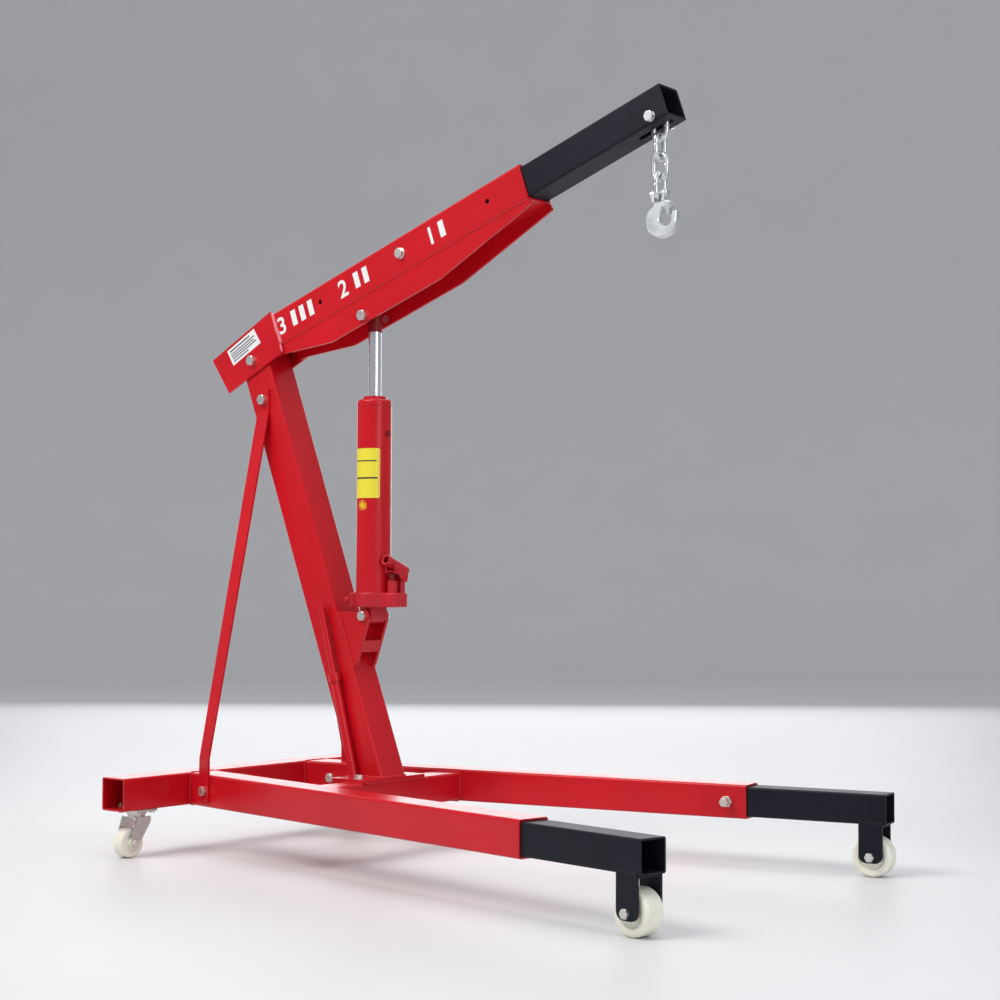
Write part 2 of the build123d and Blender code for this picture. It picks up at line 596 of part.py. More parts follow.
PIN_Z = z_bottom[3] + LINK_D / 2 + 5 + GAP
HX, HZ = CB[0] + 7, PIN_Z - 59
with BuildPart() as hook_body:
    with BuildSketch(side_plane(HX, HZ, 7)) as bowl:
        with BuildLine() as outline:
            outer = [(40 * math.cos(math.radians(150 + k * 7)), 40 * math.sin(math.radians(150 + k * 7))) for k in range(31)]
            inner = [(11 + 16.4 * math.cos(math.radians(-k * 7)), 0.6 + 16.4 * math.sin(math.radians(-k * 7))) for k in range(31)]
            Polyline((-18, 42), (-20, 31), *outer, (42, 16), (30, 16), (28, 8), *inner, (2, 26), (16, 27), (22, 31), (22, 37), (17, 42), close=True)
        make_face()
    extrude(amount=14)
    for f in hook_body.faces().filter_by(lambda f: abs(abs(f.normal_at().Y) - 1) < 0.001):
        extrude(f, amount=3, taper=35)
    with BuildSketch(Plane(origin=(CB[0], 0, HZ + 41), x_dir=(1, 0, 0), z_dir=(0, 0, 1))) as base:
        Rectangle(34, 20)
    extrude(base.sketch, amount=PIN_Z - HZ - 41)
    with BuildSketch(Plane(origin=(CB[0] - 17, 0, PIN_Z), x_dir=(0, 1, 0), z_dir=(1, 0, 0))) as eye:
        Circle(10)
    extrude(eye.sketch, amount=34)
    with BuildSketch(Plane(origin=(CB[0], 0, z_bottom[3] - 10), x_dir=(1, 0, 0), z_dir=(0, 0, 1))) as gap:
        Rectangle(18, 40)
    extrude(gap.sketch, amount=60, mode=Mode.SUBTRACT)
    with BuildSketch(Plane(origin=(CB[0] - 30, 0, PIN_Z), x_dir=(0, 1, 0), z_dir=(1, 0, 0))) as pin_hole:
        Circle(5.05)
    extrude(pin_hole.sketch, amount=60, mode=Mode.SUBTRACT)
    with BuildSketch(side_plane(HX + 18, HZ + 33, 30)) as latch_hole:
        Circle(2.5 + RUN)
    extrude(latch_hole.sketch, amount=60, mode=Mode.SUBTRACT)
export(hook_body.part, "hook_body")

with BuildPart() as hook_pin:
    disc(Plane(origin=(CB[0] - 23, 0, PIN_Z), x_dir=(0, 1, 0), z_dir=(1, 0, 0)), 5, 45)
    disc(Plane(origin=(CB[0] - 23, 0, PIN_Z), x_dir=(0, 1, 0), z_dir=(1, 0, 0)), 8, 5.9)
    hexagon(Plane(origin=(CB[0] + 17.1, 0, PIN_Z), x_dir=(0, 1, 0), z_dir=(1, 0, 0)), 15, 5)
export(hook_pin.part, "hook_pin")

with BuildPart() as hook_latch:
    # bent sheet that straddles the hook's neck on its own pin and rests inside the hook's tip
    for y in (12.4, -10.4):
        with BuildSketch(side_plane(HX + 18, HZ + 33, y)) as ear:
            Polygon((-5, 4), (-5, -4), (1, -25), (6.2, -25), (6, 0), (3, 5), align=None)
        extrude(ear.sketch, amount=2)
    with BuildSketch(side_plane(HX + 18, HZ + 33, 12.4)) as flap:
        Polygon((4.0, -10), (6.4, -10), (6.6, -25), (4.4, -25), align=None)
    extrude(flap.sketch, amount=24.8)
    with BuildSketch(side_plane(HX + 18, HZ + 33, 12.5)) as pin:
        Circle(2.5)
    extrude(pin.sketch, amount=25)
export(hook_latch.part, "hook_latch")

# ================================================================ hydraulic ram with its pump
RX = xr(RAM_X)


def ram_level(z):
    return Plane(origin=(RX, 0, z), x_dir=(1, 0, 0), z_dir=(0, 0, 1))


BASE0, BASE1 = 611.0, 646.0
CYL_TOP = 1112.0
GLAND_TOP = 1134.0
PUMP_X = 62.0
VALVE = (-0.70, -0.714)
with BuildPart() as ram_base:
    with BuildSketch(ram_level(BASE0)) as plan:
        Circle(50)
        with Locations((PUMP_X / 2, 0)):
            Rectangle(PUMP_X, 44)
        with Locations((PUMP_X, 0)):
            Circle(22)
        with Locations((PUMP_X, 19)):
            Rectangle(30, 38)
        with Locations(Location((VALVE[0] * 50, VALVE[1] * 50), math.degrees(math.atan2(VALVE[1], VALVE[0])))):
            Rectangle(22, 20)
    extrude(amount=BASE1 - BASE0)
    fillet(ram_base.edges().group_by(Axis.Z)[-1], 4)
    fillet(ram_base.edges().group_by(Axis.Z)[0], 2.5)
    with BuildSketch(side_plane(RX, RAM_LOW_Z, 28)) as lug:
        Circle(19)
        with Locations((0, 14)):
            Rectangle(38, 28)
        Circle(9 + RUN, mode=Mode.SUBTRACT)
    extrude(lug.sketch, amount=56)
    with BuildSketch(Plane(origin=(RX + PUMP_X, 0, 628), x_dir=(1, 0, 0), z_dir=(0, 0, 1))) as well:
        Circle(7.3)
    extrude(well.sketch, amount=40, mode=Mode.SUBTRACT)
    # fulcrum post of the pump lever
    with BuildSketch(Plane(origin=(RX + PUMP_X - 8, 30, 0), x_dir=(0, 1, 0), z_dir=(1, 0, 0))) as post:
        with Locations((0, (BASE1 - 4 + 681) / 2)):
            Rectangle(16, 681 - BASE1 + 4)
        with Locations((0, 681)):
            Circle(8)
            Circle(4.05, mode=Mode.SUBTRACT)
    extrude(post.sketch, amount=16)
    valve_plane = Plane(origin=(RX + VALVE[0] * 40, VALVE[1] * 40, 628.5), x_dir=(0, 0, 1), z_dir=(VALVE[0], VALVE[1], 0))
    with BuildSketch(valve_plane) as vbore:
        Circle(5 + RUN)
    extrude(vbore.sketch, amount=30, mode=Mode.SUBTRACT)
export(ram_base.part, "ram_base")

with BuildPart() as release_valve:
    disc(valve_plane.offset(4), 5, 26)
    disc(valve_plane.offset(22), 8, 9)
    block(valve_plane.offset(30.9), 4, 17, 5)
export(release_valve.part, "release_valve")

with BuildPart() as ram_cylinder:
    ring(ram_level(BASE1), RAM_R, RAM_R - 4, CYL_TOP - BASE1)
    with BuildSketch(Plane(origin=(RX, 0, 1040), x_dir=(0, 1, 0), z_dir=(1, 0, 0))) as fill_hole:
        Circle(6.05)
    extrude(fill_hole.sketch, amount=60, mode=Mode.SUBTRACT)
export(ram_cylinder.part, "ram_cylinder")

with BuildPart() as ram_inner_tube:
    ring(ram_level(BASE1), 30, 25, CYL_TOP - BASE1)
export(ram_inner_tube.part, "ram_inner_tube")

with BuildPart() as ram_gland:
    with BuildSketch(Plane(origin=(RX, 0, 0), x_dir=(1, 0, 0), z_dir=(0, -1, 0))) as gsec:
        with BuildLine():
            Polyline((16 + RUN, CYL_TOP), (RAM_R, CYL_TOP), (RAM_R, 1118))
            ThreePointArc((RAM_R, 1118), (RAM_R - 2.6, 1124.0), (RAM_R - 9, 1126.5))
            Polyline((RAM_R - 9, 1126.5), (29, 1126.5), (29, GLAND_TOP - 2), (27, GLAND_TOP), (16 + RUN, GLAND_TOP), (16 + RUN, CYL_TOP))
        make_face()
    revolve(axis=Axis((RX, 0, 0), (0, 0, 1)))
export(ram_gland.part, "ram_gland")

ROD_TOP = 1296.0
with BuildPart() as ram_rod:
    disc(ram_level(885), 16, ROD_TOP - 885)
export(ram_rod.part, "ram_rod")

with BuildPart() as ram_piston:
    disc(ram_level(845), 25 - 0.06, 40)
export(ram_piston.part, "ram_piston")

with BuildPart() as ram_rod_end:
    disc(ram_level(ROD_TOP), 17, 55)
    chamfer(ram_rod_end.edges().group_by(Axis.Z)[-1], 2)
    disc(side_plane(RX, RAM_TOP_Z, 30), 10.3, 60, Mode.SUBTRACT)
export(ram_rod_end.part, "ram_rod_end")

with BuildPart() as filler_plug:
    disc(Plane(origin=(RX + RAM_R - 3.9, 0, 1040), x_dir=(0, 1, 0), z_dir=(1, 0, 0)), 6, 4.2)
    disc(Plane(origin=(RX + RAM_R + 0.3, 0, 1040), x_dir=(0, 1, 0), z_dir=(1, 0, 0)), 7.5, 3.5)
export(filler_plug.part, "filler_plug")

with BuildPart() as pump_cylinder:
    ring(Plane(origin=(RX + PUMP_X, 0, BASE1), x_dir=(1, 0, 0), z_dir=(0, 0, 1)), 12, 7 + RUN, 30)
export(pump_cylinder.part, "pump_cylinder")

with BuildPart() as pump_plunger:
    disc(Plane(origin=(RX + PUMP_X, 0, 655), x_dir=(1, 0, 0), z_dir=(0, 0, 1)), 7, 38)
export(pump_plunger.part, "pump_plunger")

LEV = 21.9
sl, cl = math.sin(math.radians(LEV)), math.cos(math.radians(LEV))
with BuildPart() as pump_lever:
    # socket tube, rising towards the right-hand side, with two cheeks under it
    with BuildSketch(Plane(origin=(RX + PUMP_X, 48, 699), x_dir=(1, 0, 0), z_dir=(0, -cl, sl))) as socket:
        Circle(13)
    extrude(socket.sketch, amount=78)
    for x0 in (RX + PUMP_X + 12.5, RX + PUMP_X - 16.5):
        with BuildSketch(Plane(origin=(x0, 0, 0), x_dir=(0, 1, 0), z_dir=(1, 0, 0))) as cheek:
            Polygon((-8, 694), (6, 692), (22, 674), (36, 673), (40, 684), (40, 702), (-8, 721), align=None)
        extrude(cheek.sketch, amount=4)
    with BuildSketch(Plane(origin=(RX + PUMP_X, 48 - 5 * cl, 699 + 5 * sl), x_dir=(1, 0, 0), z_dir=(0, -cl, sl))) as socket_bore:
        Circle(9.5)
    extrude(socket_bore.sketch, amount=90, mode=Mode.SUBTRACT)
    with BuildSketch(Plane(origin=(RX + PUMP_X - 20, 30, 681), x_dir=(0, 1, 0), z_dir=(1, 0, 0))) as f_hole:
        Circle(4.05)
    extrude(f_hole.sketch, amount=40, mode=Mode.SUBTRACT)
    with BuildSketch(Plane(origin=(RX + PUMP_X - 20, 0, 699), x_dir=(0, 1, 0), z_dir=(1, 0, 0))) as p_hole:
        Circle(4.05)
    extrude(p_hole.sketch, amount=40, mode=Mode.SUBTRACT)
export(pump_lever.part, "pump_lever")

with BuildPart() as pump_lever_pins:
    for y, z in ((30, 681), (0, 699)):
        disc(Plane(origin=(RX + PUMP_X - 18.4, y, z), x_dir=(0, 1, 0), z_dir=(1, 0, 0)), 4, 37.4)
        disc(Plane(origin=(RX + PUMP_X - 18.4, y, z), x_dir=(0, 1, 0), z_dir=(1, 0, 0)), 6.5, 1.8)
        disc(Plane(origin=(RX + PUMP_X + 16.6, y, z), x_dir=(0, 1, 0), z_dir=(1, 0, 0)), 6, 2.4)
export(pump_lever_pins.part, "pump_lever_pins")

print("boom pivot", P0, "ram low", (RX, 0, RAM_LOW_Z), "ram top", (RX, 0, RAM_TOP_Z), "chain bolt", CB)
print("link bottoms", z_bottom, "hook pin", PIN_Z, "hook centre", HX, HZ, "latch pivot", HX + 18, HZ + 33)
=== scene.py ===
import json
import math
import random

import bpy
from mathutils import Matrix, Vector


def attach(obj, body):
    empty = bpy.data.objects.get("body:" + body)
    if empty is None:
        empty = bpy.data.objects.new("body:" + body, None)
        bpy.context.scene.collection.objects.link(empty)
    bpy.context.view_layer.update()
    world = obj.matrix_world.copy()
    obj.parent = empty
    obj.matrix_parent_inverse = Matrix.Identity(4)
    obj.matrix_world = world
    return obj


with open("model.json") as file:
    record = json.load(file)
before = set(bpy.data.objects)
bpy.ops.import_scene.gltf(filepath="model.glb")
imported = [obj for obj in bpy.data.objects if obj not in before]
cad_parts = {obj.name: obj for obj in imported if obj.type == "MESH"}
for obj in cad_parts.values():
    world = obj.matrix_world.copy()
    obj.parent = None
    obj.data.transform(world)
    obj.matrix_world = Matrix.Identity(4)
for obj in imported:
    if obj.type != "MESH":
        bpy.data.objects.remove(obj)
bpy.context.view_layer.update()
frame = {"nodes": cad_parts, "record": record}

# ------------------------------------------------------------------ the part's own layout, metres
MM = 0.001
XR = -710.4


def d2r(a):
    return math.radians(a)


sa, ca = math.sin(d2r(10.5)), math.cos(d2r(10.5))
sm, cm = math.sin(d2r(21.0)), math.cos(d2r(21.0))
sb, cb = math.sin(d2r(19.5)), math.cos(d2r(19.5))
LEG_CY = 163.0 + 40.0 / ca


def V(x, y, z):
    return Vector((x * MM, y * MM, z * MM))


def leg(side, along, out=0.0, z=156.0):
    return V(XR + along * ca - out * sa, side * (LEG_CY + along * sa + out * ca), z)


def mast(a, b, y=0.0):
    return V(XR + 463.0 - sm * a + cm * b, y, 196.0 + cm * a + sm * b)


def boom(s, h, y=0.0):
    return V(XR + 128.1 + s * cb - h * sb, y, 1383.0 + s * sb + h * cb)


RX = XR + 391.0
RAM_LOW_Z, RAM_TOP_Z = 589.0, 1333.0
CHAIN = boom(1156, -68)

# ------------------------------------------------------------------ camera
CAM = (3555.75362 + XR, -3512.98182, 672.228049)
YAW, PITCH, ROLL, FOCAL = 0.666994293, 0.0435186331, 0.00343113566, 1898.10788
f = Vector((-math.sin(YAW) * math.cos(PITCH), math.cos(YAW) * math.cos(PITCH), math.sin(PITCH)))
r0 = Vector((math.cos(YAW), math.sin(YAW), 0.0))
u0 = r0.cross(f)
r = r0 * math.cos(ROLL) + u0 * math.sin(ROLL)
u = -r0 * math.sin(ROLL) + u0 * math.cos(ROLL)
cam_data = bpy.data.cameras.new("camera")
cam_data.sensor_width = 36.0
cam_data.lens = FOCAL / 1000.0 * 36.0
cam_data.clip_start, cam_data.clip_end = 0.05, 200.0
cam = bpy.data.objects.new("camera", cam_data)
bpy.context.scene.collection.objects.link(cam)
cam.matrix_world = Matrix(((r.x, u.x, -f.x, CAM[0] * MM), (r.y, u.y, -f.y, CAM[1] * MM), (r.z, u.z, -f.z, CAM[2] * MM), (0, 0, 0, 1)))
bpy.context.scene.camera = cam


# ------------------------------------------------------------------ materials
class Mat:
    """A Principled material with helpers for its procedural detail."""

    def __init__(self, name, **values):
        self.m = bpy.data.materials.new(name)
        self.m.use_nodes = True
        self.t = self.m.node_tree
        self.n, self.l = self.t.nodes, self.t.links
        self.b = next(x for x in self.n if x.type == "BSDF_PRINCIPLED")
        self.coord = self.n.new("ShaderNodeTexCoord").outputs["Object"]
        for k, v in values.items():
            self.b.inputs[k.replace("_", " ")].default_value = v

    def noise(self, scale, detail=3.0, rough=0.5, vec=None, distort=0.0):
        x = self.n.new("ShaderNodeTexNoise")
        x.inputs["Scale"].default_value = scale
        x.inputs["Detail"].default_value = detail
        x.inputs["Roughness"].default_value = rough
        x.inputs["Distortion"].default_value = distort
        self.l.new(vec or self.coord, x.inputs["Vector"])
        return x.outputs["Fac"]

    def voronoi(self, scale, feature="F1", out="Distance", vec=None):
        x = self.n.new("ShaderNodeTexVoronoi")
        x.feature = feature
        x.inputs["Scale"].default_value = scale
        self.l.new(vec or self.coord, x.inputs["Vector"])
        return x.outputs[out]

    def mapped(self, scale=(1, 1, 1), rot=(0, 0, 0)):
        x = self.n.new("ShaderNodeMapping")
        x.inputs["Scale"].default_value = scale
        x.inputs["Rotation"].default_value = rot
        self.l.new(self.coord, x.inputs["Vector"])
        return x.outputs["Vector"]

    def ramp(self, fac, stops):
        x = self.n.new("ShaderNodeValToRGB")
        cr = x.color_ramp
        while len(cr.elements) < len(stops):
            cr.elements.new(0.5)
        for e, (p, c) in zip(cr.elements, stops):
            e.position = p
            e.color = (c, c, c, 1) if isinstance(c, (int, float)) else (*c, 1)
        self.l.new(fac, x.inputs["Fac"])
        return x.outputs["Color"]

    def mix(self, fac, a, b):
        x = self.n.new("ShaderNodeMix")
        x.data_type = "RGBA"
        for sock, v in ((x.inputs["Factor"], fac), (x.inputs["A"], a), (x.inputs["B"], b)):
            if isinstance(v, (int, float)):
                sock.default_value = v
            elif isinstance(v, tuple):
                sock.default_value = (*v, 1)
            else:
                self.l.new(v, sock)
        return x.outputs["Result"]

    def math(self, op, a, b=0.0, c=0.0):
        x = self.n.new("ShaderNodeMath")
        x.operation = op
        for i, v in enumerate((a, b, c)):
            if isinstance(v, (int, float)):
                x.inputs[i].default_value = v
            else:
                self.l.new(v, x.inputs[i])
        return x.outputs[0]

    def span(self, fac, lo, hi):
        x = self.n.new("ShaderNodeMapRange")
        x.inputs["To Min"].default_value = lo
        x.inputs["To Max"].default_value = hi
        self.l.new(fac, x.inputs["Value"])
        return x.outputs["Result"]

    def color(self, sock):
        self.l.new(sock, self.b.inputs["Base Color"])

    def rough(self, sock):
        self.l.new(sock, self.b.inputs["Roughness"])

    def bumps(self, *layers, edge=0.0):
        """Layers of (height socket, strength, distance in metres), over softly rounded edges."""
        last = None
        if edge:
            bv = self.n.new("ShaderNodeBevel")
            bv.samples = 4
            bv.inputs["Radius"].default_value = edge
            last = bv.outputs["Normal"]
        for h, strength, dist in layers:
            x = self.n.new("ShaderNodeBump")
            x.inputs["Strength"].default_value = strength
            x.inputs["Distance"].default_value = dist
            self.l.new(h, x.inputs["Height"])
            if last is not None:
                self.l.new(last, x.inputs["Normal"])
            last = x.outputs["Normal"]
        self.l.new(last, self.b.inputs["Normal"])

    def edges(self, radius):
        """0 on flats, rising to 1 on outside and inside edges."""
        bv = self.n.new("ShaderNodeBevel")
        bv.samples = 4
        bv.inputs["Radius"].default_value = radius
        g = self.n.new("ShaderNodeNewGeometry")
        x = self.n.new("ShaderNodeVectorMath")
        x.operation = "DOT_PRODUCT"
        self.l.new(bv.outputs["Normal"], x.inputs[0])
        self.l.new(g.outputs["Normal"], x.inputs[1])
        return self.math("SUBTRACT", 1.0, x.outputs["Value"])


def painted(name, dark, light, worn_edge_and_highlight, rough_lo, rough_hi, peel=0.10, coat=0.0, edge=0.0016, spec=0.3, cast=0.0, wear=0.55):
    m = Mat(name, Metallic=0.0, IOR=1.5, Coat_Weight=coat, Coat_Roughness=0.12, Specular_IOR_Level=spec)
    broad = m.noise(3.2, 4, 0.55)
    fine = m.noise(46, 5, 0.65)
    base = m.mix(m.ramp(broad, [(0.3, 0.0), (0.72, 1.0)]), dark, light)
    base = m.mix(m.math("MULTIPLY", m.ramp(fine, [(0.52, 0.0), (0.8, 1.0)]), 0.22), base, dark)
    # paint is thin on sharp edges, and a few spots are rubbed; the lighter pink laid along the edges is also a painted
    # highlight standing in for the light lines that edges catch
    e = m.edges(0.0025)
    edge_wear_and_highlight = m.math("MULTIPLY", m.ramp(e, [(0.05, 0.0), (0.3, 1.0)]), m.ramp(m.noise(90, 4, 0.7), [(0.47, 0.0), (0.60, 1.0)]))
    base = m.mix(m.math("MULTIPLY", edge_wear_and_highlight, wear), base, worn_edge_and_highlight)
    m.color(base)
    m.rough(m.span(m.noise(14, 5, 0.6), rough_lo, rough_hi))
    layers = [(m.noise(7, 2, 0.5), 0.12, 0.004), (m.noise(420, 2, 0.5), peel, 0.0006), (m.noise(1500, 1, 0.5), peel * 0.5, 0.0002)]
    if cast:
        layers.append((m.noise(230, 4, 0.7), cast, 0.0012))
    m.bumps(*layers, edge=edge)
    return m.m


# the third colour of each paint goes on along its edges: partly rubbed paint, partly a painted highlight
RED = painted("red_paint", (0.50, 0.003, 0.009), (0.64, 0.005, 0.015), (0.86, 0.17, 0.20), 0.26, 0.38, 0.10, 0.10, spec=0.30, wear=0.7)
RED_CAST = painted("red_cast_paint", (0.44, 0.004, 0.012), (0.60, 0.010, 0.026), (0.84, 0.20, 0.24), 0.32, 0.50, 0.14, 0.10, spec=0.36, cast=0.85, wear=0.9)
WELD = painted("weld_paint", (0.62, 0.03, 0.05), (0.84, 0.26, 0.31), (0.90, 0.55, 0.58), 0.22, 0.34, 0.10, 0.2, spec=0.5, wear=0.8)
DARK_RED = painted("dark_red_paint", (0.17, 0.003, 0.007), (0.26, 0.004, 0.010), (0.40, 0.06, 0.06), 0.34, 0.5, 0.12)
BLACK = painted("black_paint", (0.007, 0.008, 0.013), (0.013, 0.015, 0.023), (0.09, 0.09, 0.10), 0.40, 0.54, 0.12, 0.0, spec=0.17)


def zinc(name, base, dark, lo, hi, cells=160, tint=None, edge=0.0006):
    m = Mat(name, Metallic=1.0)
    c = m.mix(m.ramp(m.noise(34, 5, 0.6), [(0.35, 0.0), (0.7, 1.0)]), base, dark)
    c = m.mix(m.math("MULTIPLY", m.voronoi(cells, "F1", "Distance"), 0.25), c, dark)
    if tint:
        c = m.mix(m.math("MULTIPLY", m.ramp(m.noise(22, 2, 0.5, distort=0.6), [(0.45, 0.0), (0.75, 1.0)]), 0.5), c, tint)
    m.color(c)
    m.rough(m.span(m.noise(60, 5, 0.65), lo, hi))
    m.bumps((m.noise(260, 3, 0.6), 0.10, 0.0006), (m.noise(900, 2, 0.6), 0.06, 0.0002), edge=edge)
    return m.m


ZINC = zinc("zinc_plate", (0.86, 0.85, 0.82), (0.62, 0.61, 0.58), 0.34, 0.50, tint=(0.84, 0.81, 0.73))
CASTER_ZINC = zinc("caster_zinc", (0.78, 0.79, 0.75), (0.58, 0.58, 0.55), 0.32, 0.48)
CHAIN_ZINC = zinc("chain_zinc", (0.88, 0.90, 0.91), (0.60, 0.62, 0.63), 0.28, 0.44)
HOOK_ZINC = zinc("hook_zinc", (0.88, 0.91, 0.93), (0.64, 0.67, 0.69), 0.34, 0.50)
STEEL = zinc("bare_steel", (0.42, 0.42, 0.43), (0.25, 0.24, 0.24), 0.28, 0.45)


def chrome():
    m = Mat("chrome", Metallic=1.0)
    turned = m.noise(1.0, 6, 0.7, vec=m.mapped((30, 30, 2600)))
    m.color(m.mix(m.ramp(turned, [(0.35, 0.0), (0.7, 1.0)]), (0.90, 0.90, 0.94), (0.76, 0.76, 0.80)))
    m.rough(m.span(m.noise(1.0, 4, 0.6, vec=m.mapped((60, 60, 900))), 0.22, 0.34))
    m.bumps((turned, 0.05, 0.0001), edge=0.0004)
    return m.m


def nylon():
    m = Mat("nylon", Metallic=0.0, IOR=1.53, Subsurface_Weight=0.12, Subsurface_Scale=0.004)
    m.b.inputs["Subsurface Radius"].default_value = (1.0, 0.8, 0.5)
    c = m.mix(m.ramp(m.noise(26, 4, 0.6), [(0.3, 0.0), (0.75, 1.0)]), (0.88, 0.86, 0.72), (0.93, 0.92, 0.83))
    # floor dust and small scuffs that rolling leaves on the tread
    scuff = m.ramp(m.noise(120, 6, 0.75), [(0.56, 0.0), (0.72, 1.0)])
    c = m.mix(m.math("MULTIPLY", scuff, 0.35), c, (0.52, 0.49, 0.40))
    m.color(c)
    m.rough(m.span(m.noise(40, 4, 0.6), 0.32, 0.52))
    m.bumps((m.noise(60, 3, 0.6), 0.08, 0.001), (m.noise(600, 3, 0.6), 0.08, 0.0003), edge=0.0010)
    return m.m


def ink(name, base, dark, rough=0.45, wear=0.3):
    m = Mat(name, Metallic=0.0)
    c = m.mix(m.math("MULTIPLY", m.ramp(m.noise(140, 5, 0.7), [(0.5, 0.0), (0.75, 1.0)]), wear), base, dark)
    m.color(c)
    m.rough(m.span(m.noise(50, 4, 0.6), rough - 0.08, rough + 0.08))
    m.bumps((m.noise(700, 2, 0.5), 0.06, 0.0002))
    return m.m


CHROME, NYLON = chrome(), nylon()
WHITE_INK = ink("white_stencil", (0.86, 0.85, 0.83), (0.62, 0.50, 0.48), 0.5, 0.35)
WHITE_LABEL = ink("white_label", (0.84, 0.84, 0.83), (0.70, 0.70, 0.68), 0.35, 0.25)
GREY_PRINT = ink("grey_print", (0.16, 0.17, 0.20), (0.28, 0.28, 0.30), 0.4, 0.3)
YELLOW_LABEL = ink("yellow_label", (0.88, 0.76, 0.05), (0.80, 0.64, 0.04), 0.32, 0.3)
AMBER_LABEL = ink("amber_label", (0.86, 0.48, 0.015), (0.76, 0.40, 0.02), 0.32, 0.3)
DARK_PRINT = ink("dark_print", (0.03, 0.03, 0.03), (0.10, 0.09, 0.05), 0.4, 0.3)
AMBER_PRINT = ink("amber_print", (0.52, 0.28, 0.01), (0.62, 0.36, 0.02), 0.4, 0.3)

LOOK = {"red_paint": RED, "dark_red_paint": DARK_RED, "black_paint": BLACK, "zinc_plate": ZINC, "nylon": NYLON,
        "chain_zinc": CHAIN_ZINC, "chrome": CHROME, "bare_steel": STEEL}
slot_of = {s["node"]: s["material_slot"] for s in frame["record"]["subparts"]}
for node, ob in frame["nodes"].items():
    look = LOOK[slot_of[node]]
    if node.endswith("caster_fork") or node == "caster_top_plates":
        look = CASTER_ZINC
    if node in ("ram_base", "pump_lever", "pump_cylinder"):
        look = RED_CAST
    # painted shade: the filler plug takes the dark red so that it reads as the shaded hole it sits in
    if node == "filler_plug":
        look = DARK_RED
    if node == "hook_body":
        look = HOOK_ZINC
    if node in ("hook_latch", "hook_pin", "chain_bolt"):
        look = CHAIN_ZINC
    for ms in ob.material_slots:
        ms.material = look


# ------------------------------------------------------------------ mesh helpers
class Shape:
    """Collects vertices and faces for one piece."""

    def __init__(self):
        self.v, self.f = [], []

    def ring_run(self, rings, closed_ends=True, loop=False):
        start = len(self.v)
        n = len(rings[0])
        for ring in rings:
            self.v += [tuple(p) for p in ring]
        count = len(rings)
        for i in range(count if loop else count - 1):
            a, b = start + i * n, start + ((i + 1) % count) * n
            for k in range(n):
                self.f.append((a + k, a + (k + 1) % n, b + (k + 1) % n, b + k))
        if closed_ends and not loop:
            self.f.append(tuple(start + k for k in reversed(range(n))))
            self.f.append(tuple(start + (count - 1) * n + k for k in range(n)))

    def make(self, name, body, mat, slot, smooth=True, flat_angle=None):
        me = bpy.data.meshes.new(name)
        me.from_pydata(self.v, [], self.f)
        me.validate()
        me.polygons.foreach_set("use_smooth", [smooth] * len(me.polygons))
        if flat_angle is not None:
            me.set_sharp_from_angle(angle=math.radians(flat_angle))
        me.update()
        ob = bpy.data.objects.new(name, me)
        bpy.context.scene.collection.objects.link(ob)
        me.materials.append(mat)
        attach(ob, body)
        return ob


def axes_for(d):
    d = d.normalized()
    a = Vector((0, 0, 1)) if abs(d.z) < 0.9 else Vector((1, 0, 0))
    x = d.cross(a).normalized()
    return x, d.cross(x).normalized()


def resample(points, step, loop):
    pts = list(points) + ([points[0]] if loop else [])
    out, carry = [], 0.0
    for a, b in zip(pts, pts[1:]):
        length = (b - a).length
        if length < 1e-9:
            continue
        t = carry
        while t < length:
            out.append(a.lerp(b, t / length))
            t += step
        carry = t - length
    if not loop:
        out.append(pts[-1].copy())
    return out


def bead(shape, points, radius, loop=False, pitch=0.0034, seed=1):
    """A weld bead: overlapping ripples along the seam, a little uneven, tapered at its ends."""
    rnd = random.Random(seed)
    step = pitch / 4.0
    pts = resample(points, step, loop)
    if len(pts) < 6:
        return
    n, rings = 10, []
    drift = [rnd.uniform(-1, 1) for _ in range(len(pts) // 12 + 3)]
    count = len(pts)
    for i, p in enumerate(pts):
        if loop:
            d = pts[(i + 2) % count] - pts[i - 2]
        else:
            d = pts[min(i + 2, count - 1)] - pts[max(i - 2, 0)]
        if d.length < 1e-9:
            d = Vector((1, 0, 0))
        x, y = axes_for(d)
        k = i / 12.0
        w = drift[int(k)] * (1 - k % 1) + drift[int(k) + 1] * (k % 1)
        if loop:
            w *= min(1.0, min(i, count - i) / 12.0)
        # each ripple rises steeply and falls away behind it
        ph = (i % 4) / 4.0
        ripple = (1.0, 0.96, 0.90, 0.82)[int(ph * 4)]
        rr = radius * ripple * (1.0 + 0.10 * w)
        if not loop:
            rr *= min(1.0, 0.45 + 0.12 * min(i, count - 1 - i))
        c = p + x * (radius * 0.10 * w)
        rings.append([c + x * (rr * math.cos(q)) + y * (rr * math.sin(q)) for q in (2 * math.pi * j / n for j in range(n))])
    shape.ring_run(rings, loop=loop)


def circle(centre, axis, radius, count=48, start=0.0, sweep=2 * math.pi):
    x, y = axes_for(axis)
    return [centre + x * (radius * math.cos(start + sweep * k / count)) + y * (radius * math.sin(start + sweep * k / count)) for k in range(count)]


def lathe(shape, centre, axis, profile, count=40):
    """Profile of (radius, distance along the axis) in millimetres, closed into a solid of revolution."""
    axis = axis.normalized()
    x, y = axes_for(axis)
    rings = []
    for k in range(count):
        q = 2 * math.pi * k / count
        e = x * math.cos(q) + y * math.sin(q)
        rings.append([centre + e * (rr * MM) + axis * (h * MM) for rr, h in profile])
    shape.ring_run(rings, loop=True)


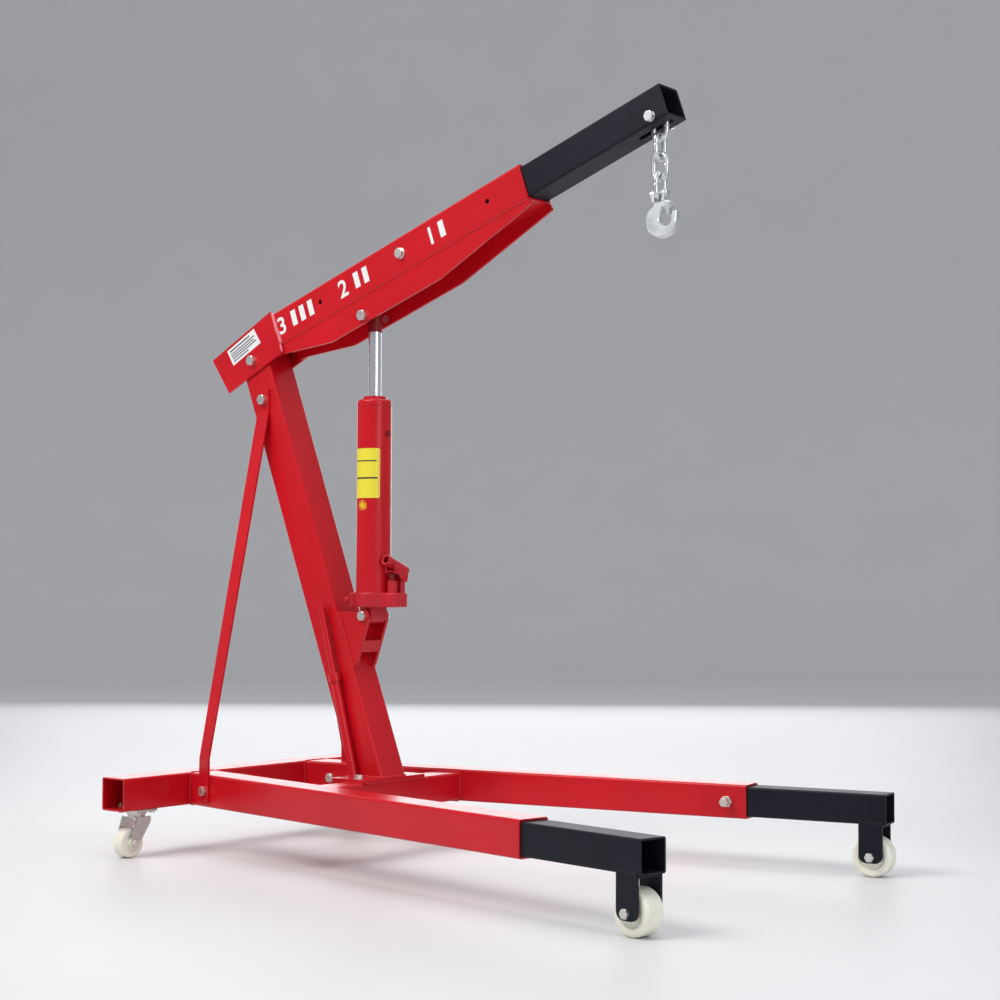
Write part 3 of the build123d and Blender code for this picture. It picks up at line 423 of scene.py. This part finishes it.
def thread(shape, start, axis, radius, length, pitch, depth=0.55, count=20):
    """A helical thread standing on a shank; radius, length, pitch and depth in millimetres."""
    axis = axis.normalized()
    x, y = axes_for(axis)
    turns = max(1.0, (length - pitch) / pitch)
    total = int(turns * count)
    rings = []
    for i in range(total + 1):
        q = 2 * math.pi * i / count
        z = pitch * i / count + pitch * 0.5
        fade = min(1.0, min(i, total - i) / (count * 0.5))
        e = x * math.cos(q) + y * math.sin(q)
        dd = depth * fade
        rings.append([start + e * ((radius - 0.15) * MM) + axis * ((z - pitch * 0.42) * MM),
                      start + e * ((radius + dd) * MM) + axis * ((z - pitch * 0.07) * MM),
                      start + e * ((radius + dd) * MM) + axis * ((z + pitch * 0.07) * MM),
                      start + e * ((radius - 0.15) * MM) + axis * ((z + pitch * 0.42) * MM)])
    shape.ring_run(rings)


# ------------------------------------------------------------------ welds
w = Shape()
for side in (-1, 1):
    # leg to rear cross tube, all the way round its end
    x = XR + 1.5
    y0, y1 = 163.0, 163.0 + 80.0 / ca
    loop = [V(x, side * yy, zz) for yy, zz in ((y0 - 0.6, 122), (y0 - 0.6, 190), (y0 + 5, 195.0), (y1 - 5, 195.0), (y1 + 0.6, 190), (y1 + 0.6, 122), (y1 - 5, 117), (y0 + 5, 117))]
    bead(w, loop, 0.0036, True, seed=11 + side)
    # front cross tube to the leg's inner face
    t = sa / ca
    loop = [V(XR + xx, side * (163.0 + xx * t - 0.6), zz) for xx, zz in ((402, 188.4), (460, 188.4), (466.4, 182), (466.4, 124), (460, 117.6), (402, 117.6), (395.6, 124), (395.6, 182))]
    bead(w, loop, 0.0034, True, seed=21 + side)
    # foot plate's end over the front cross tube, and clamp nut on the leg
    bead(w, [V(XR + xx, side * 111.6, 189.0) for xx in (398, 430, 462)], 0.0028, seed=31 + side)
    nut = leg(side, 1192, -40.0)
    d = Vector((sa, -side * ca, 0.0))
    bead(w, circle(nut + d * 0.0006, d, 0.0132), 0.0022, True, seed=41 + side)
    # bracket ears on the mast
    bead(w, [mast(a, 0.8, side * 38.6) for a in (284, 330, 380, 430)], 0.0032, seed=51 + side)
    bead(w, [mast(a, 0.8, side * 29.4) for a in (284, 330, 380, 430)], 0.0026, seed=61 + side)
# mast foot all round on its plate
zf, xf, xb = 196.8, 463.6, 463.0 - 95.0 / cm - 0.6
bead(w, [V(XR + xx, yy, zf) for xx, yy in ((xf, -39), (xf, 39), (xf - 6, 45.6), (xb + 7, 45.6), (xb, 39), (xb, -39), (xb + 7, -45.6), (xf - 6, -45.6))], 0.0038, True, seed=71)
# foot plate's front edge on the cross tube below it
bead(w, [V(XR + 466.6, yy, 187.2) for yy in (-108, 108)], 0.0024, seed=72)
# handle holder on the plate and against the mast
sh, ch = math.sin(d2r(15.5)), math.cos(d2r(15.5))
hx, hy = XR + 384.0, -60.2


def handle_pt(dd):
    return V(hx - sh * dd, hy, 196.0 + ch * dd)


bead(w, [V(hx + 11.8 * math.cos(q), hy + 11.2 * math.sin(q), 196.8) for q in (2 * math.pi * k / 28 for k in range(28))], 0.0022, True, seed=73)
bead(w, [handle_pt(q) + V(0, 14.2, 0) for q in (239, 248, 257)], 0.0026, seed=74)
w.make("frame_welds", "frame", RED, "red_paint")

w = Shape()
for y in (-1, 1):
    # side plates under the boom
    bead(w, [boom(s, -90.2, y * 44.7) for s in (-48, 200, 480, 786)], 0.0024, seed=85 + y)
bead(w, [boom(-85.0, 0.2, y) for y in (-38, 0, 38)], 0.0034, seed=89)
w.make("boom_welds", "boom", RED, "red_paint")
# the bracket's front edge on the boom: the seam that shows most, coloured a lighter pink than the paint round it
w = Shape()
for y in (-1, 1):
    bead(w, [boom(-56.6 + (-h) * 0.062, h, y * 46.4) for h in (1, -30, -60, -88)], 0.0056, seed=81 + y, pitch=0.0052)
    bead(w, [boom(-50.6, h, y * 51.0) for h in (-90, -100, -110)], 0.0042, seed=95 + y, pitch=0.0048)
w.make("bracket_welds", "boom", WELD, "red_paint")

for side, word in ((1, "left"), (-1, "right")):
    w = Shape()
    for out in (-34.6, 34.6):
        bead(w, [leg(side, a, out, 121.0) for a in (1510, 1537, 1564)], 0.0013, seed=100 + side)
    bead(w, [leg(side, 1565.4, o, 120.6) for o in (-31, 0, 31)], 0.0016, seed=103 + side)
    bead(w, [leg(side, 1508.6, o, 120.6) for o in (-31, 0, 31)], 0.0018, seed=105 + side)
    w.make(word + "_fork_welds", word + "_extension", BLACK, "black_paint")
    # the ground weld that carries each plate flush into the tube's side
    w = Shape()
    for k in (-1, 1):
        rings = []
        for a in (1509.0, 1512.0, 1537.0, 1562.0, 1565.0):
            out = 35.02
            rings.append([leg(side, a, k * out, 118.5), leg(side, a, k * out, 127.0), leg(side, a, k * 31.5, 122.6), leg(side, a, k * 31.5, 118.5)])
        w.ring_run(rings if k > 0 else [list(reversed(q)) for q in rings])
    w.make(word + "_fork_fill", word + "_extension", BLACK, "black_paint", smooth=False)

w = Shape()
Z = Vector((0, 0, 1))
bead(w, circle(V(RX, 0, 646.6), Z, 0.0436), 0.0024, True, seed=111)
bead(w, circle(V(RX + 62, 0, 646.4), Z, 0.0124), 0.0016, True, seed=112)
bead(w, circle(V(RX, 0, 1112.0), Z, 0.0430), 0.0013, True, pitch=0.0028, seed=113)
w.make("ram_welds", "ram", RED, "red_paint")
w = Shape()
bead(w, circle(V(RX, 0, 1296.4), Z, 0.0166), 0.0014, True, pitch=0.0026, seed=114)
w.make("rod_end_weld", "piston_rod", DARK_RED, "dark_red_paint")

# ------------------------------------------------------------------ threads on bolt tails
Y = Vector((0, 1, 0))
t = Shape()
for x, y in ((431, -94), (413, 76)):
    thread(t, V(XR + x, y, 174.0), -Z, 6, 6.0, 1.75)
bt = mast(1032, -47.5)
thread(t, Vector((bt.x, (45 + 6.2 + 11) * MM, bt.z)), Y, 7, 4.6, 2.0)
for side in (-1, 1):
    fy = side * (163.0 + 80.0 / ca + 69.0 * sa / ca)
    inner = V(XR + 69, fy, 156) + Vector((sa, -side * ca, 0)) * ((80 + 11) * MM)
    thread(t, inner, Vector((sa, -side * ca, 0)), 7, 5.6, 2.0)
lowp = V(RX, 0, RAM_LOW_Z)
thread(t, lowp + V(0, 38.05 + 13, 0), Y, 9, 5.4, 2.5)
t.make("frame_bolt_threads", "frame", ZINC, "zinc_plate", flat_angle=40)
t = Shape()
p0 = mast(1143, -47.5)
thread(t, Vector((p0.x, (51.65 + 14) * MM, p0.z)), Y, 10, 5.4, 2.5)
thread(t, V(RX, 45.05 + 13.6, RAM_TOP_Z), Y, 10, 5.0, 2.5)
t.make("boom_bolt_threads", "boom", ZINC, "zinc_plate", flat_angle=40)
t = Shape()
thread(t, Vector((CHAIN.x, (39.05 + 13) * MM, CHAIN.z)), Y, 7, 4.6, 2.0)
t.make("chain_bolt_thread", "boom_inner", ZINC, "zinc_plate", flat_angle=40)
for side, word in ((1, "left"), (-1, "right")):
    t = Shape()
    d = Vector((sa, -side * ca, 0))
    thread(t, leg(side, 1536, -35.05, 47.0) + d * (10 * MM), d, 6, 4.6, 1.75)
    t.make(word + "_axle_thread", word + "_extension", ZINC, "zinc_plate", flat_angle=40)
    t = Shape()
    thread(t, leg(side, 1192, -40 - 11.6), Vector((sa, -side * ca, 0)), 6, 10.0, 1.75, 0.4)
    t.make(word + "_clamp_thread", word + "_clamp", ZINC, "zinc_plate", flat_angle=40)
    t = Shape()
    thread(t, V(XR - 40 - 28.05 - 8, side * 409, 36.5), Vector((-1, 0, 0)), 5, 3.8, 1.5, 0.4)
    t.make(word + "_caster_axle_thread", word + "_caster", ZINC, "zinc_plate", flat_angle=40)

# ------------------------------------------------------------------ stencilled position numbers and marks
def flat_patch(shape, corners):
    n = (corners[1] - corners[0]).cross(corners[2] - corners[0]).normalized() * 0.00012
    ring_a = [c + n for c in corners]
    ring_b = [c + n * 3.2 for c in corners]
    shape.ring_run([ring_a, ring_b])


def numeral(text, s, name):
    cu = bpy.data.curves.new(name, "FONT")
    cu.body = text
    cu.size = 0.062
    cu.extrude = 0.00012
    cu.offset = 0.0011
    ob = bpy.data.objects.new(name, cu)
    bpy.context.scene.collection.objects.link(ob)
    me = bpy.data.meshes.new_from_object(ob.evaluated_get(bpy.context.evaluated_depsgraph_get()))
    bpy.data.objects.remove(ob)
    o = boom(s, -64.0, -45.28)
    m = Matrix(((cb, -sb, 0, o.x), (0, 0, -1, o.y), (sb, cb, 0, o.z), (0, 0, 0, 1)))
    me.transform(m)
    me.name = name
    piece = bpy.data.objects.new(name, me)
    bpy.context.scene.collection.objects.link(piece)
    me.materials.clear()
    me.materials.append(WHITE_INK)
    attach(piece, "boom")
    return piece


for text, s in (("3", -50.0), ("2", 176.0), ("1", 480.0)):
    numeral(text, s, "boom_number_" + text)
marks = Shape()
for count, s0 in ((3, 3.0), (2, 232.0), (1, 524.0)):
    for k in range(count):
        s = s0 + k * 31.0
        flat_patch(marks, [boom(s, -62, -45.05), boom(s + 17, -62, -45.05), boom(s + 17, -21, -45.05), boom(s, -21, -45.05)])
marks.make("boom_position_marks", "boom", WHITE_INK, "red_paint", smooth=False)


# ------------------------------------------------------------------ labels with plain bands
def bracket_pt(u_, v_, lift=0.0):
    """u along the label, v up it, both 0 to 1."""
    a0, a1, b1, b0 = boom(-226, -74), boom(-114, -57), boom(-126, -12), boom(-236, -29)
    p = a0.lerp(a1, u_).lerp(b0.lerp(b1, u_), v_)
    p.y = -(51.6 + 0.05 + lift) * MM
    return p


def label_block(shape, u0_, u1_, v0_, v1_, lift):
    low = [bracket_pt(*q, lift) for q in ((u0_, v0_), (u1_, v0_), (u1_, v1_), (u0_, v1_))]
    high = [bracket_pt(*q, lift + 0.15) for q in ((u0_, v0_), (u1_, v0_), (u1_, v1_), (u0_, v1_))]
    shape.ring_run([low, high])


s_ = Shape()
label_block(s_, 0, 1, 0, 1, 0.0)
s_.make("bracket_label", "boom", WHITE_LABEL, "red_paint", smooth=False)
s_ = Shape()
for v0_, v1_, u1_ in ((0.78, 0.88, 0.80), (0.60, 0.68, 0.92), (0.45, 0.53, 0.86), (0.30, 0.38, 0.92), (0.14, 0.22, 0.60)):
    label_block(s_, 0.07, u1_, v0_, v1_, 0.16)
s_.make("bracket_label_bands", "boom", GREY_PRINT, "red_paint", smooth=False)


def wrap(shape, r_mm, a0_, a1_, z0_, z1_, thick=0.15, count=24):
    """A patch bent round the ram cylinder, angles in degrees from +X."""
    rings = []
    for k in range(count + 1):
        q = d2r(a0_ + (a1_ - a0_) * k / count)
        e0, e1 = r_mm, r_mm + thick
        rings.append([V(RX + e0 * math.cos(q), e0 * math.sin(q), z0_), V(RX + e1 * math.cos(q), e1 * math.sin(q), z0_),
                      V(RX + e1 * math.cos(q), e1 * math.sin(q), z1_), V(RX + e0 * math.cos(q), e0 * math.sin(q), z1_)])
    shape.ring_run(rings)


# the label faces the crane's right-hand side; view direction angle from the cylinder's axis
FACE = math.degrees(math.atan2(CAM[1], CAM[0] - RX))
LAB0 = FACE - math.degrees(math.asin(0.985))
LAB1 = FACE + math.degrees(math.asin(14.0 / 43.0))
def wrap_rounded(shape, r_mm, a0_, a1_, z0_, z1_, corner, thick=0.15, count=56):
    """The same with rounded corners."""
    wide = r_mm * d2r(a1_ - a0_)
    rings = []
    for k in range(count + 1):
        # columns close up towards both ends, where the corners are
        g = 0.5 - 0.5 * math.cos(math.pi * k / count)
        q = d2r(a0_ + (a1_ - a0_) * g)
        dist = min(g, 1 - g) * wide
        cut = corner - math.sqrt(max(0.0, corner * corner - (corner - dist) ** 2)) if dist < corner else 0.0
        e0, e1 = r_mm, r_mm + thick
        rings.append([V(RX + e0 * math.cos(q), e0 * math.sin(q), z0_ + cut), V(RX + e1 * math.cos(q), e1 * math.sin(q), z0_ + cut),
                      V(RX + e1 * math.cos(q), e1 * math.sin(q), z1_ - cut), V(RX + e0 * math.cos(q), e0 * math.sin(q), z1_ - cut)])
    shape.ring_run(rings)


s_ = Shape()
wrap_rounded(s_, 43.06, LAB0, LAB1, 880, 1003, 5.0)
s_.make("ram_label", "ram", YELLOW_LABEL, "red_paint", flat_angle=40)
s_ = Shape()
span = LAB1 - LAB0
for z0_, z1_, p0_, p1_ in ((970.5, 973.5, 0.04, 0.88), (927.5, 931.5, 0.04, 0.92)):
    wrap(s_, 43.22, LAB0 + span * p0_, LAB0 + span * p1_, z0_, z1_)
s_.make("ram_label_lines", "ram", DARK_PRINT, "red_paint", flat_angle=40)
s_ = Shape()
wrap(s_, 43.22, LAB0 + span * 0.955, LAB0 + span * 0.972, 886.0, 997.0)
s_.make("ram_label_margin", "ram", AMBER_PRINT, "red_paint", flat_angle=40)


def round_sticker(name, angle, z, radius, mat_, lift):
    sh_ = Shape()
    n = 28
    low, high = [], []
    for k in range(n):
        q = 2 * math.pi * k / n
        for lst, rr in ((low, 43.05 + lift), (high, 43.2 + lift)):
            aa = d2r(angle) + radius * math.cos(q) / 43.0
            lst.append(V(RX + rr * math.cos(aa), rr * math.sin(aa), z + radius * math.sin(q)))
    sh_.ring_run([low, high])
    return sh_.make(name, "ram", mat_, "red_paint", smooth=False)


STK = FACE - math.degrees(math.asin(29.0 / 43.0))
round_sticker("ram_sticker", STK, 862, 12.5, AMBER_LABEL, 0.0)
round_sticker("ram_sticker_ring", STK, 862, 8.6, AMBER_PRINT, 0.17)
round_sticker("ram_sticker_dot", STK, 862, 7.4, AMBER_LABEL, 0.34)

# ------------------------------------------------------------------ small fittings
# wiper seal and retaining ring on the gland
s_ = Shape()
lathe(s_, V(RX, 0, 1134.0), Z, [(16.2, -1.5), (24, -1.5), (24, 0.4), (21.5, 1.2), (19.4, 1.2), (18.8, 0.5), (16.35, 0.5)])
s_.make("rod_wiper", "ram", DARK_PRINT, "bare_steel", flat_angle=40)

# steel bushes in the wheel hubs
for side, word in ((1, "left"), (-1, "right")):
    d = Vector((-sa, side * ca, 0))
    s_ = Shape()
    for k in (-1, 1):
        lathe(s_, leg(side, 1536, 0, 47.0), d * k, [(6.3, 27.0), (8.6, 27.0), (8.6, 28.25), (8.2, 28.6), (6.3, 28.6)])
        lathe(s_, leg(side, 1536, 0, 47.0), d * k, [(12.0, 26.0), (14.6, 26.0), (14.6, 27.2), (14.0, 28.3), (12.0, 28.3)])
    s_.make(word + "_front_bush", word + "_front_roller", CASTER_ZINC, "zinc_plate", flat_angle=40)
    s_ = Shape()
    for k in (-1, 1):
        lathe(s_, V(XR - 40, side * 409, 36.5), Vector((k, 0, 0)), [(5.3, 23.0), (7.6, 23.0), (7.6, 24.2), (7.3, 24.4), (5.3, 24.4)])
    s_.make(word + "_rear_bush", word + "_rear_roller", CASTER_ZINC, "zinc_plate", flat_angle=40)

# the welded joint on one side of every chain link
zb, top = [], CHAIN.z / MM + 7.3
for n in range(4):
    s_ = Shape()
    zc = top - 22.5
    c = Vector((CHAIN.x, 0, zc * MM)) + (Vector((17.0 * MM, 0, 0)) if n % 2 == 0 else Vector((0, -17.0 * MM, 0)))
    lathe(s_, c, Z, [(5.6, -3.2), (6.1, -2.2), (6.5, -0.9), (6.6, 0.0), (6.45, 0.9), (6.1, 2.2), (5.6, 3.2)], 24)
    s_.make("link_seam_%d" % (n + 1), "link_%d" % (n + 1), CHAIN_ZINC, "chain_zinc")
    top = top - 45 + 0.3

# ------------------------------------------------------------------ floor, backdrop and light
stage = Mat("studio_floor", Roughness=0.55, Specular_IOR_Level=0.3)
stage.color(stage.mix(stage.noise(1.6, 4, 0.6), (0.66, 0.66, 0.67), (0.70, 0.70, 0.71)))
stage.bumps((stage.noise(90, 3, 0.6), 0.05, 0.0006))
s_ = Shape()
n, rings = 96, []
prof = [(0.0, 0.0)] + [(rr, 0.0) for rr in (1.0, 3.0, 6.0, 9.0)] + [(9.0 + 4.0 * math.sin(q), 4.0 - 4.0 * math.cos(q)) for q in (d2r(k * 7.5) for k in range(1, 13))] + [(13.0, 9.0)]
for rr, zz in prof[1:]:
    rings.append([Vector((rr * math.cos(2 * math.pi * k / n), rr * math.sin(2 * math.pi * k / n), zz - 0.0004)) for k in range(n)])
start = len(s_.v)
s_.ring_run(rings, closed_ends=False)
s_.f = [tuple(reversed(q)) for q in s_.f]
s_.v.append((0, 0, -0.0004))
c0 = len(s_.v) - 1
for k in range(n):
    s_.f.append((c0, k, (k + 1) % n))
me = bpy.data.meshes.new("studio")
me.from_pydata(s_.v, [], s_.f)
me.validate()
me.polygons.foreach_set("use_smooth", [True] * len(me.polygons))
me.materials.append(stage.m)
studio = bpy.data.objects.new("studio", me)
bpy.context.scene.collection.objects.link(studio)

world = bpy.data.worlds.new("studio_air")
bpy.context.scene.world = world
world.use_nodes = True
bg = next(x for x in world.node_tree.nodes if x.type == "BACKGROUND")
bg.inputs["Color"].default_value = (0.93, 0.95, 1.0, 1)
bg.inputs["Strength"].default_value = 0.55


def area(name, pos, aim, size, power, color=(1, 1, 1)):
    ld = bpy.data.lights.new(name, "AREA")
    ld.shape = "RECTANGLE"
    ld.size, ld.size_y = size
    ld.energy = power
    ld.color = color
    ob = bpy.data.objects.new(name, ld)
    bpy.context.scene.collection.objects.link(ob)
    ob.location = pos
    ob.rotation_mode = "QUATERNION"
    ob.rotation_quaternion = (Vector(aim) - Vector(pos)).to_track_quat("-Z", "Y")
    return ob


area("key", (-1.6, -4.0, 5.4), (0.1, 0, 0.8), (3.4, 2.6), 250, (1.0, 0.985, 0.96))
area("fill", (5.2, -1.6, 2.4), (0.2, 0, 0.7), (2.4, 2.4), 62, (0.96, 0.98, 1.0))
area("top", (0.2, 0.3, 4.6), (0.1, 0, 0.6), (3.4, 3.0), 72)
area("back", (-3.6, 4.6, 1.5), (0.0, 0, 0.5), (5.2, 1.6), 80, (0.97, 0.985, 1.0))

sc = bpy.context.scene
sc.view_settings.view_transform = "Standard"
sc.view_settings.look = "None"
